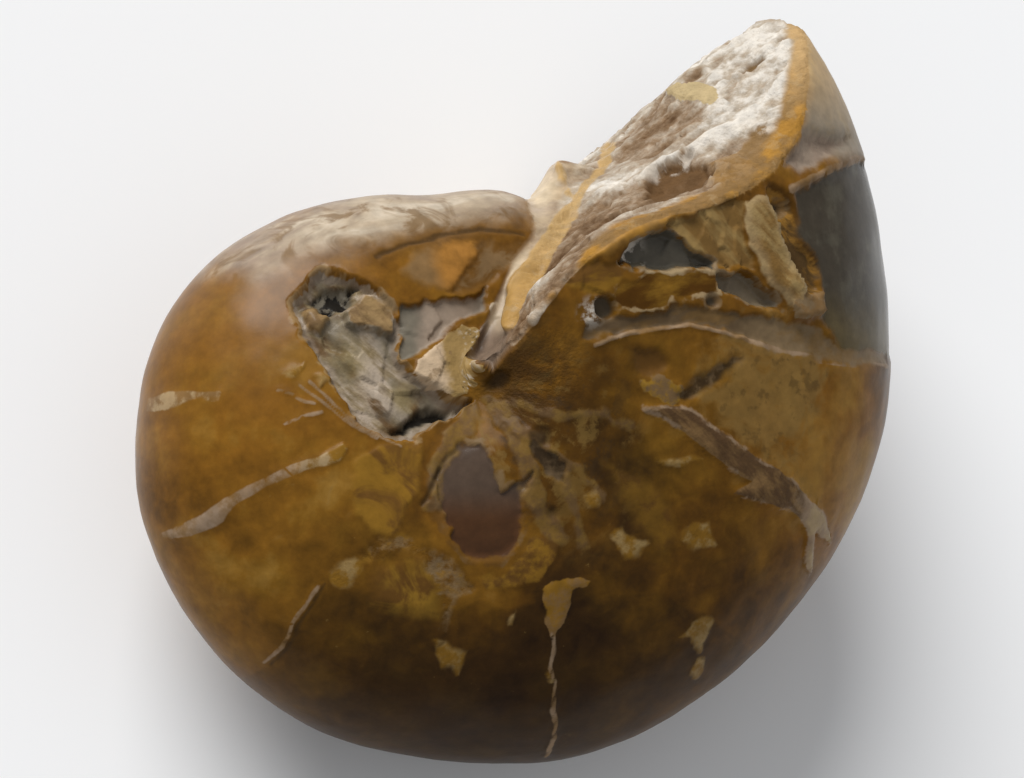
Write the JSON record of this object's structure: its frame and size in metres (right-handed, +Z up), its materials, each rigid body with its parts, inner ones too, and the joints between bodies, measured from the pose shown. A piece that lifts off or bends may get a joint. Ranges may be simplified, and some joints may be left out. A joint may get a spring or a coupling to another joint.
{
  "type": "nautiloid fossil",
  "caption": "Polished fossil of a coiled nautiloid, an ammonite-like shell turned to amber stone, broken off rough at the mouth and resting flat on one flank.",
  "frame": {"origin": "on the floor under the middle of the stone's bounding box, as it rests on its far flank", "axes": "+Z up, the short way through the coil; the broken mouth points towards +X and +Y, and the coil grows counter-clockwise seen from above"},
  "size_m": [0.0892, 0.086, 0.0489],
  "materials": {
    "fossil": "polished amber and brown stone, rough and pale where it is broken"
  },
  "bodies": {
    "root": {"fossil": "fossil"}
  },
  "joints": []
}
